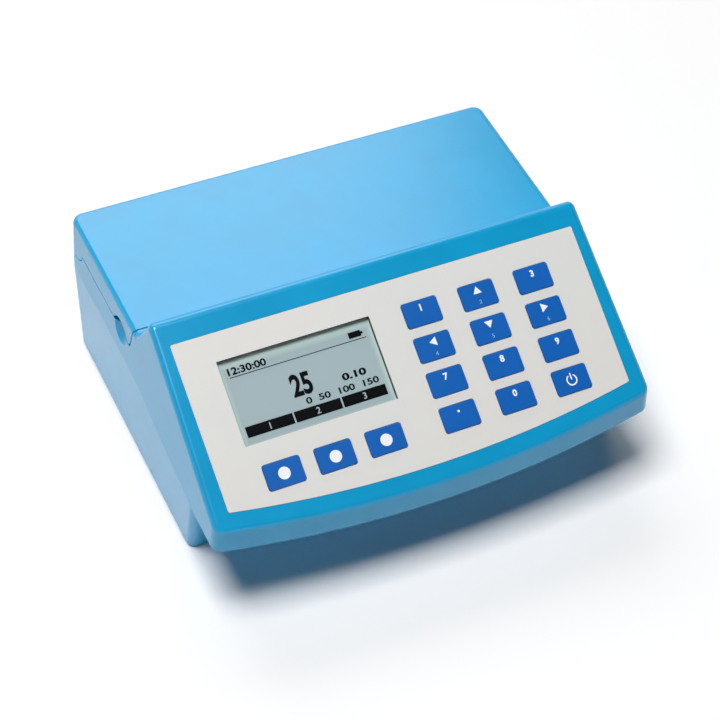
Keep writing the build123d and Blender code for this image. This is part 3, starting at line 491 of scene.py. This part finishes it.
@dataclass(frozen=True)
class Ink:
    """Printed ink or a switched display cell: slightly uneven, matt."""

    name: str
    colour: Colour
    roughness: float
    specular: float = 0.3
    uneven: float = 0.05
    thin: float = 0.93
    lift: float = 0.002
    speck_mm: float = 0.6
    speck_stops: Span = (0.3, 0.7)
    speck_height_mm: float = 0.002

    def make(self) -> bpy.types.Material:
        """Build the material.

        Returns:
            The finished material.
        """
        maker = NodeMaker(self.name)
        specks = maker.noise(self.speck_mm, detail=3.0)
        thin = shaded(self.colour, self.thin, self.lift)
        maker.tint(specks, "Fac", self.speck_stops, (thin, self.colour))
        maker.vary_roughness(specks, "Fac", self.roughness - self.uneven, self.roughness + self.uneven)
        maker.bump(specks, "Fac", self.speck_height_mm)
        maker.tune(maker.shader, Specular_IOR_Level=self.specular)
        return maker.material


GROUND_STEEL = SpunMetal("ground_steel", (0.62, 0.63, 0.64))


@dataclass
class Finishes:
    """All finishes of the object, each built once and kept by name."""

    made: Dict[str, bpy.types.Material] = field(default_factory=dict)

    def get(self, finish: Finish) -> bpy.types.Material:
        """Build a finish the first time it is asked for.

        Args:
            finish: The finish.

        Returns:
            Its material.
        """
        if finish.name not in self.made:
            self.made[finish.name] = finish.make()
        return self.made[finish.name]

    def dress(self, finish: Finish, *nodes: str) -> None:
        """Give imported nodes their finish.

        Args:
            finish: The finish.
            *nodes: Names of the nodes.
        """
        for node in nodes:
            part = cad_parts[node]
            part.data.materials.clear()
            part.data.materials.append(self.get(finish))
            LOG.info("dressed %s in %s", node, finish.name)


@dataclass
class Print:
    """Maker of thin printed shapes at one height over the panel's plane."""

    finishes: Finishes
    height: float
    thick: float
    drawn_size: float = 10.0
    drawn_depth: float = 0.01
    drawn_steps: int = 6

    def settle(self, name: str, mesh: bpy.types.Mesh, finish: Finish, body: str) -> None:
        """Put a mesh drawn in panel millimetres on its body.

        Args:
            name: Name of the piece.
            mesh: Its mesh, with x across, y up the slope and z off the panel.
            finish: Its finish.
            body: Body that it rides on.
        """
        mesh.transform(SLOPE.frame())
        mesh.materials.clear()
        mesh.materials.append(self.finishes.get(finish))
        piece = bpy.data.objects.new(name, mesh)
        bpy.context.scene.collection.objects.link(piece)
        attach(piece, body)
        LOG.info("printed %s on %s", name, body)

    def slab(self, *outlines: Outline) -> bpy.types.Mesh:
        """Raise closed outlines into thin slabs.

        Args:
            *outlines: Corner lists in panel x and up-slope y.

        Returns:
            One mesh with all the slabs.
        """
        builder = bmesh.new()
        for outline in outlines:
            top = [builder.verts.new((x, y, self.height)) for x, y in outline]
            low = [builder.verts.new((x, y, self.height - self.thick)) for x, y in outline]
            builder.faces.new(top)
            builder.faces.new(list(reversed(low)))
            for index in range(len(outline)):
                after = (index + 1) % len(outline)
                builder.faces.new((top[index], low[index], low[after], top[after]))
        bmesh.ops.recalc_face_normals(builder, faces=builder.faces)
        mesh = bpy.data.meshes.new("print")
        builder.to_mesh(mesh)
        builder.free()
        return mesh

    def figures(self, text: str, tall: float, centre: Spot, weight: float = 0.0,
                wide: Optional[float] = None) -> bpy.types.Mesh:
        """Draw a row of numerals.

        Args:
            text: The numerals.
            tall: Height of a numeral in millimetres.
            centre: Middle of the row in panel x and up-slope y.
            weight: Extra stroke width, in the letterform's own units.
            wide: Width of the whole row, or nothing for the letterform's own width.

        Returns:
            The mesh of the row.
        """
        curve = bpy.data.curves.new("figures", "FONT")
        curve.body = text
        curve.size = self.drawn_size
        curve.offset = weight
        curve.extrude = self.drawn_depth
        curve.resolution_u = self.drawn_steps
        holder = bpy.data.objects.new("figures", curve)
        bpy.context.scene.collection.objects.link(holder)
        bpy.context.view_layer.update()
        mesh = bpy.data.meshes.new_from_object(holder.evaluated_get(bpy.context.evaluated_depsgraph_get()))
        bpy.data.objects.remove(holder)
        bpy.data.curves.remove(curve)
        columns = list(zip(*(vertex.co for vertex in mesh.vertices)))
        low, high = ([end(column) for column in columns] for end in (min, max))
        breadth = wide if wide is not None else tall * (high[0] - low[0]) / (high[1] - low[1])
        for vertex in mesh.vertices:
            share = [(vertex.co[i] - low[i]) / (high[i] - low[i]) for i in range(3)]
            vertex.co = Vector((centre[0] + (share[0] - 0.5) * breadth, centre[1] + (share[1] - 0.5) * tall,
                                self.height - self.thick + share[2] * self.thick))
        return mesh


@dataclass
class Housing:
    """Blue shells of the case, with their screws, feet and hinge pins."""

    finishes: Finishes
    blue: Colour = from_srgb(0, 152, 203)

    def dress(self) -> None:
        """Dress the shells, the lid, the pins, the screws and the feet."""
        shell = MouldedPlastic("satin_blue", self.blue, roughness=0.24, specular=0.65)
        self.finishes.dress(shell, "upper_case", "lower_case", "lid", "port_panel")
        self.finishes.dress(GROUND_STEEL, "hinge_pins", "case_screws")
        self.finishes.dress(SoftRubber("foot_rubber", (0.02, 0.02, 0.021)), "rubber_feet")


@dataclass
class ControlPanel:
    """Overlay of the sloped panel."""

    finishes: Finishes

    def dress(self) -> None:
        """Dress the overlay."""
        sheet = PrintedSheet("overlay_print", from_srgb(218, 219, 216), from_srgb(220, 218, 215))
        self.finishes.dress(sheet, "panel_overlay")


@dataclass(frozen=True)
class Reading:
    """A row of numerals that the display shows, in panel millimetres."""

    name: str
    text: str
    tall: float
    wide: float
    centre: Spot
    weight: float


@dataclass
class Display:
    """Display glass, its frame and what it shows. The face is the height of the top of the switched cells."""

    finishes: Finishes
    face: float = -2.57
    ink_thick: float = 0.02
    bar_sides: Tuple[Span, ...] = ((-73.3, -52.6), (-51.9, -31.3), (-30.6, -11.0))
    bar_ends: Span = (52.05, 56.65)
    rule_sides: Span = (-72.4, -11.6)
    rule_ends: Span = (30.8, 31.15)
    charge_sides: Span = (-18.9, -13.4)
    charge_ends: Span = (27.35, 29.95)
    knob_sides: Span = (-13.4, -12.5)
    knob_ends: Span = (28.1, 29.2)
    bar_figure_x: Tuple[float, ...] = (-62.9, -41.6, -20.8)
    bar_figure_y: float = -54.35
    bar_figure_tall: float = 2.8
    bar_figure_weight: float = 0.12
    readings: Tuple[Reading, ...] = (
        Reading("display_clock", "12:30:00", 3.2, 16.8, (-64.2, -28.5), 0.3),
        Reading("display_reading", "25", 9.7, 9.0, (-44.9, -41.9), 0.35),
        Reading("display_step", "0.10", 3.1, 10.8, (-22.1, -44.4), 0.45),
        Reading("display_scale", "0  50  100  150", 2.8, 32.6, (-29.0, -49.3), 0.28))

    def dress(self) -> None:
        """Dress the glass, the frame and the layers behind."""
        frame_black = MouldedPlastic("frame_black", (0.01, 0.012, 0.014), roughness=0.5)
        self.finishes.dress(frame_black, "display_gasket")
        glass = DisplayGlass("crystal_field", from_srgb(163, 183, 188), from_srgb(188, 209, 205))
        self.finishes.dress(glass, "display_glass")
        guide = MouldedPlastic("light_guide", (0.8, 0.8, 0.78), roughness=0.3)
        self.finishes.dress(guide, "display_backlight")
        self.finishes.dress(CircuitBoard("display_mask"), "display_board")
        self.finishes.dress(GROUND_STEEL, "display_screws")

    @staticmethod
    def bar(sides: Span, ends: Span) -> Outline:
        """Corners of a bar in panel x and up-slope y, from its sides and its ends down the slope."""
        (left, right), (top, low) = sides, ends
        return [(left, -low), (right, -low), (right, -top), (left, -top)]

    def show(self) -> None:
        """Draw the switched cells: bars over the soft keys, rule, charge and figures."""
        press = Print(self.finishes, self.face, self.ink_thick)
        cell = Ink("dark_cell", from_srgb(4, 6, 10), 0.6, 0.06)
        bars = [self.bar(sides, self.bar_ends) for sides in self.bar_sides]
        rule = [self.bar(self.rule_sides, self.rule_ends)]
        charge = [self.bar(self.charge_sides, self.charge_ends), self.bar(self.knob_sides, self.knob_ends)]
        for name, outlines in (("display_bars", bars), ("display_rule", rule), ("display_charge", charge)):
            press.settle(name, press.slab(*outlines), cell, "case")
        for row in self.readings:
            mesh = press.figures(row.text, row.tall, row.centre, row.weight, row.wide)
            press.settle(row.name, mesh, cell, "case")
        over = Print(self.finishes, self.face + self.ink_thick, self.ink_thick)
        pale = Ink("pale_cell", from_srgb(170, 188, 192), 0.35)
        for number, middle in enumerate(self.bar_figure_x, start=1):
            centre = (middle, self.bar_figure_y)
            mesh = over.figures(str(number), self.bar_figure_tall, centre, self.bar_figure_weight)
            over.settle(f"display_bar_figure_{number}", mesh, pale, "case")


@dataclass
class Keypad:
    """Fifteen keys with their printed marks, and the board behind them.

    Places are in panel millimetres: the middle of the first key of the block and of the soft keys, with
    their pitches. The face is the height of the marks' top over the panel.
    """

    finishes: Finishes
    pad_x: float = 14.2
    pad_v: float = 28.5
    pitch_x: float = 26.3
    pitch_v: float = 15.5
    soft_x: float = -64.7
    soft_v: float = 74.9
    soft_pitch: float = 22.6
    soft_dot_radius: float = 2.6
    face: float = 0.47
    ink_thick: float = 0.02
    mark_up: float = 2.2
    figure_tall: float = 3.0
    figure_weight: float = 0.35
    small_figure_tall: float = 1.7
    small_figure_down: float = 3.0
    arrow_tip: float = 1.7
    arrow_foot: float = 1.5
    arrow_half: float = 1.95
    point_radius: float = 0.55
    point_steps: int = 24
    sign_radius: float = 2.2
    sign_stroke: float = 0.6
    sign_opening: float = math.radians(28.0)
    sign_steps: int = 40
    sign_bar_low: float = 0.1
    sign_bar_over: float = 0.9

    def dress(self) -> None:
        """Dress the keys, the contacts and their board."""
        behind = ("key_board", "key_board_screws", "key_contacts")
        keys = [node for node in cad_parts
                if node.startswith(("key_", "soft_key_")) and node not in behind]
        cap = MouldedPlastic("key_blue", from_srgb(0, 93, 179), roughness=0.4, specular=0.35, mottle=0.03)
        self.finishes.dress(cap, *keys)
        self.finishes.dress(SpunMetal("sprung_disc", (0.75, 0.74, 0.7), 0.2), "key_contacts")
        self.finishes.dress(CircuitBoard("key_mask"), "key_board")
        self.finishes.dress(GROUND_STEEL, "key_board_screws")

    def centre(self, column: int, row: int) -> Spot:
        """Middle of a key of the block in panel x and up-slope y, by its column and row."""
        return (self.pad_x + column * self.pitch_x, -(self.pad_v + row * self.pitch_v))

    def mark_place(self, column: int, row: int) -> Spot:
        """Middle of the main mark of a key of the block, in panel x and up-slope y."""
        x, y = self.centre(column, row)
        return (x, y + self.mark_up)

    def arrow(self, centre: Spot, pointer: Pointer) -> Outline:
        """Corners of an arrow mark.

        Args:
            centre: Middle of the mark.
            pointer: The way it points.

        Returns:
            Its corners.
        """
        cosine, sine = math.cos(math.radians(pointer.value)), math.sin(math.radians(pointer.value))
        corners = ((0.0, self.arrow_tip), (-self.arrow_half, -self.arrow_foot),
                   (self.arrow_half, -self.arrow_foot))
        return [(centre[0] + x * cosine - y * sine, centre[1] + x * sine + y * cosine) for x, y in corners]

    @staticmethod
    def disc(centre: Spot, radius: float, steps: int = 48) -> Outline:
        """Points round a disc, as many as there are steps."""
        return [polar(centre, radius, 2 * math.pi * index / steps) for index in range(steps)]

    def power_sign(self, centre: Spot) -> List[Outline]:
        """Outlines of the sign for on and off: a broken ring with a bar.

        Args:
            centre: Middle of the ring.

        Returns:
            Short quads of the ring, and the bar.
        """
        half = self.sign_stroke / 2
        inner, outer = self.sign_radius - half, self.sign_radius + half
        start, span = math.pi / 2 + self.sign_opening, 2 * math.pi - 2 * self.sign_opening
        angles = [start + span * index / self.sign_steps for index in range(self.sign_steps + 1)]
        outlines = [[polar(centre, radius, angle) for radius, angle in
                     ((inner, first), (outer, first), (outer, last), (inner, last))]
                    for first, last in zip(angles, angles[1:])]
        left, right = centre[0] - half, centre[0] + half
        low, top = centre[1] + self.sign_bar_low, centre[1] + self.sign_radius + self.sign_bar_over
        outlines.append([(left, low), (right, low), (right, top), (left, top)])
        return outlines

    def mark(self) -> None:
        """Print the arrows, the numerals, the dots and the sign for on and off."""
        press = Print(self.finishes, self.face, self.ink_thick)
        white = Ink("key_white", from_srgb(242, 246, 252), 0.45)
        dim = Ink("key_pale", from_srgb(150, 190, 235), 0.45)
        arrows = (("key_up", (1, 0), Pointer.UP, "2"), ("key_left", (0, 1), Pointer.LEFT, "4"),
                  ("key_down", (1, 1), Pointer.DOWN, "5"), ("key_right", (2, 1), Pointer.RIGHT, "6"))
        for body, place, pointer, numeral in arrows:
            outline = self.arrow(self.mark_place(*place), pointer)
            press.settle(body + "_arrow", press.slab(outline), white, body)
            x, y = self.centre(*place)
            mesh = press.figures(numeral, self.small_figure_tall, (x, y - self.small_figure_down))
            press.settle(body + "_figure", mesh, dim, body)
        numerals = (("key_1", (0, 0), "1"), ("key_3", (2, 0), "3"), ("key_7", (0, 2), "7"),
                    ("key_8", (1, 2), "8"), ("key_9", (2, 2), "9"), ("key_0", (1, 3), "0"))
        for body, place, numeral in numerals:
            mesh = press.figures(numeral, self.figure_tall, self.mark_place(*place), self.figure_weight)
            press.settle(body + "_figure", mesh, white, body)
        point = self.disc(self.mark_place(0, 3), self.point_radius, self.point_steps)
        press.settle("key_point_dot", press.slab(point), white, "key_point")
        sign = self.power_sign(self.centre(2, 3))
        press.settle("key_power_sign", press.slab(*sign), white, "key_power")
        for index, body in enumerate(("soft_key_left", "soft_key_middle", "soft_key_right")):
            dot = self.disc((self.soft_x + index * self.soft_pitch, -self.soft_v), self.soft_dot_radius)
            press.settle(body + "_dot", press.slab(dot), white, body)


@dataclass
class Optics:
    """Measuring block with its lens, filters, emitters and detectors."""

    finishes: Finishes

    def dress(self) -> None:
        """Dress the optical parts."""
        black = MouldedPlastic("optics_black", (0.012, 0.012, 0.013), roughness=0.6)
        self.finishes.dress(black, "optical_block", "cuvette_collar", "filter_holder")
        clear = ClearGlass("optical_glass", (0.85, 0.92, 0.94))
        self.finishes.dress(clear, "focusing_lens", "beam_splitter")
        self.finishes.dress(ClearGlass("coated_filter", (0.45, 0.2, 0.5), 0.5), "band_filters")
        self.finishes.dress(ClearGlass("emitter_resin", (0.9, 0.93, 0.95), 0.6), "light_emitters")
        can = SpunMetal("detector_can", (0.72, 0.7, 0.64), 0.22)
        self.finishes.dress(can, "reference_detector", "measuring_detector")
        self.finishes.dress(GROUND_STEEL, "optics_screws")


@dataclass
class Electronics:
    """Boards, chips, battery and the sockets in the rear wall."""

    finishes: Finishes

    def dress(self) -> None:
        """Dress the boards, the battery and the sockets."""
        mask = CircuitBoard("board_mask")
        self.finishes.dress(mask, "main_board", "port_board", "emitter_board", "detector_board")
        chip = MouldedPlastic("chip_black", (0.02, 0.02, 0.022), roughness=0.55)
        self.finishes.dress(chip, "main_board_chips")
        self.finishes.dress(GROUND_STEEL, "board_screws")
        wrap = MouldedPlastic("battery_wrap", (0.02, 0.05, 0.2), roughness=0.25)
        self.finishes.dress(wrap, "battery_pack")
        self.finishes.dress(SpunMetal("port_shell", (0.7, 0.7, 0.72), 0.2), "usb_a_port", "micro_usb_port")
        jack = MouldedPlastic("jack_black", (0.015, 0.015, 0.015), roughness=0.45)
        self.finishes.dress(jack, "probe_jack")


@dataclass(frozen=True)
class Lamp:
    """A soft rectangular lamp that looks at the object, with its place and size in metres and its watts."""

    name: str
    place: Place
    size: Span
    power: float
    aim: Place = (0.0, 0.0, 0.05)

    def hang(self) -> None:
        """Hang the lamp."""
        data = bpy.data.lights.new(self.name, "AREA")
        data.shape = "RECTANGLE"
        data.size, data.size_y = self.size
        data.energy = self.power
        holder = bpy.data.objects.new(self.name, data)
        bpy.context.scene.collection.objects.link(holder)
        holder.location = self.place
        look = Vector(self.aim) - Vector(self.place)
        holder.rotation_euler = look.to_track_quat("-Z", "Y").to_euler()


@dataclass
class Studio:
    """Pale floor, soft lamps, white surround and the camera.

    Lengths are in metres where the name gives no other unit. The floor shows its own tone up to lit_floor
    from the object's middle, and plain white from white_floor on. Horizon and zenith shape the white
    surround that reflections show.
    """

    eye_mm: Place = (-246.76, -521.91, 641.46)
    azimuth: float = math.radians(25.33)
    elevation: float = math.radians(46.656)
    roll: float = math.radians(1.756)
    focal_px: float = 1883.63
    frame_px: float = 720.0
    sensor_mm: float = 36.0
    far_end: float = 50.0
    floor_half: float = 4.0
    floor_cloud_mm: float = 400.0
    floor_stops: Span = (0.3, 0.7)
    floor_tones: Tuple[Colour, Colour] = ((0.93, 0.935, 0.94), (0.95, 0.95, 0.955))
    floor_roughness: float = 0.9
    floor_specular: float = 0.1
    seen_floor: float = 0.9
    lit_floor: float = 0.2
    white_floor: float = 0.6
    sky: Tuple[float, ...] = (0.95, 0.97, 1.0, 1.0)
    world_light: float = 0.03
    horizon: Span = (0.3, 0.6)
    zenith: float = 0.12
    lamps: Tuple[Lamp, ...] = (
        Lamp("top_soft_box", (-0.4, -0.05, 1.95), (0.85, 0.85), 38.5),
        Lamp("rear_soft_box", (0.14, 2.0, 1.8), (1.9, 1.2), 25.5),
        Lamp("front_fill", (-0.3, -2.2, 0.9), (1.2, 0.8), 3.0))

    def camera(self) -> None:
        """Stand the camera where it sees the object as in the photograph."""
        forward = Vector((math.sin(self.azimuth) * math.cos(self.elevation),
                          math.cos(self.azimuth) * math.cos(self.elevation), -math.sin(self.elevation)))
        right = Vector((math.cos(self.azimuth), -math.sin(self.azimuth), 0.0))
        up = right.cross(forward)
        turned_right = right * math.cos(self.roll) + up * math.sin(self.roll)
        turned_up = up * math.cos(self.roll) - right * math.sin(self.roll)
        data = bpy.data.cameras.new("camera")
        data.sensor_width = self.sensor_mm
        data.sensor_fit = "HORIZONTAL"
        data.lens = self.focal_px / self.frame_px * self.sensor_mm
        data.clip_end = self.far_end
        holder = bpy.data.objects.new("camera", data)
        bpy.context.scene.collection.objects.link(holder)
        turn = Matrix((turned_right, turned_up, -forward)).transposed().to_4x4()
        holder.matrix_world = Matrix.Translation(Vector(self.eye_mm) * MM) @ turn
        bpy.context.scene.camera = holder

    def floor(self) -> None:
        """Lay the pale floor."""
        builder = bmesh.new()
        bmesh.ops.create_grid(builder, x_segments=2, y_segments=2, size=self.floor_half)
        mesh = bpy.data.meshes.new("floor")
        builder.to_mesh(mesh)
        builder.free()
        floor = bpy.data.objects.new("floor", mesh)
        bpy.context.scene.collection.objects.link(floor)
        maker = NodeMaker("floor_white")
        soft = maker.noise(self.floor_cloud_mm, detail=1.0)
        plain = maker.ramp(soft, "Fac", self.floor_stops, self.floor_tones)
        seen = maker.add("ShaderNodeMixRGB", Color2=(self.seen_floor, self.seen_floor, self.seen_floor, 1.0))
        rays = maker.add("ShaderNodeLightPath")
        either = maker.calculate("MAXIMUM", (rays, "Is Camera Ray"), (rays, "Is Glossy Ray"))
        maker.link(either, "Value", seen, "Fac")
        maker.link(plain, "Color", seen, "Color1")
        maker.link(seen, "Color", maker.shader, "Base Color")
        maker.tune(maker.shader, Roughness=self.floor_roughness, Specular_IOR_Level=self.floor_specular)
        self.whiten(maker, either)
        mesh.materials.append(maker.material)

    def whiten(self, maker: NodeMaker, seen: bpy.types.Node) -> None:
        """Let the floor run out into plain white, away from the object, where it is seen.

        Args:
            maker: Maker of the floor's material.
            seen: Node that says whether the floor is seen, straight or in a reflection.
        """
        reach = maker.add("ShaderNodeVectorMath")
        reach.operation = "LENGTH"
        maker.link(maker.place, "Object", reach, "Vector")
        far = maker.add("ShaderNodeMapRange", From_Min=self.lit_floor, From_Max=self.white_floor)
        far.interpolation_type = "SMOOTHSTEP"
        maker.link(reach, "Value", far, "Value")
        share = maker.calculate("MULTIPLY", (far, "Result"), (seen, "Value"))
        white = maker.add("ShaderNodeEmission", Color=WHITE)
        mix = maker.blend((share, "Value"), (maker.shader, "BSDF"), (white, "Emission"))
        maker.link(mix, "Shader", maker.output, "Surface")

    def surround(self) -> None:
        """Give the world faint light, a white horizon in reflections, and white where it is seen."""
        world = bpy.data.worlds.new("surround")
        bpy.context.scene.world = world
        world.use_nodes = True
        wiring = Wiring(world.node_tree)
        output = wiring.add("ShaderNodeOutputWorld")
        rays = wiring.add("ShaderNodeLightPath")
        light = wiring.add("ShaderNodeBackground", Color=self.sky, Strength=self.world_light)
        mirrored = wiring.add("ShaderNodeBackground")
        seen = wiring.add("ShaderNodeBackground", Color=WHITE)
        place = wiring.add("ShaderNodeTexCoord")
        split = wiring.add("ShaderNodeSeparateXYZ")
        wiring.link(place, "Generated", split, "Vector")
        fade = wiring.add("ShaderNodeMapRange", From_Min=self.horizon[0], From_Max=self.horizon[1],
                          To_Min=1.0, To_Max=self.zenith)
        wiring.link(split, "Z", fade, "Value")
        wiring.link(fade, "Result", mirrored, "Strength")
        either = wiring.calculate("MAXIMUM", (rays, "Is Camera Ray"), (rays, "Is Transmission Ray"))
        glossy = wiring.blend((rays, "Is Glossy Ray"), (light, "Background"), (mirrored, "Background"))
        mix = wiring.blend((either, "Value"), (glossy, "Shader"), (seen, "Background"))
        wiring.link(mix, "Shader", output, "Surface")

    def build(self) -> None:
        """Set the whole studio up."""
        self.camera()
        self.floor()
        self.surround()
        for lamp in self.lamps:
            lamp.hang()
        bpy.context.scene.view_settings.view_transform = "Standard"


def main() -> None:
    """Dress the object from the outside in, print its marks and set the studio."""
    logging.basicConfig(level=logging.INFO, format="%(message)s")
    finishes = Finishes()
    for assembly in (Housing(finishes), ControlPanel(finishes), Display(finishes), Keypad(finishes),
                     Optics(finishes), Electronics(finishes)):
        assembly.dress()
        LOG.info("finished %s", type(assembly).__name__)
    Display(finishes).show()
    Keypad(finishes).mark()
    Studio().build()


if __name__ == "__main__":
    main()
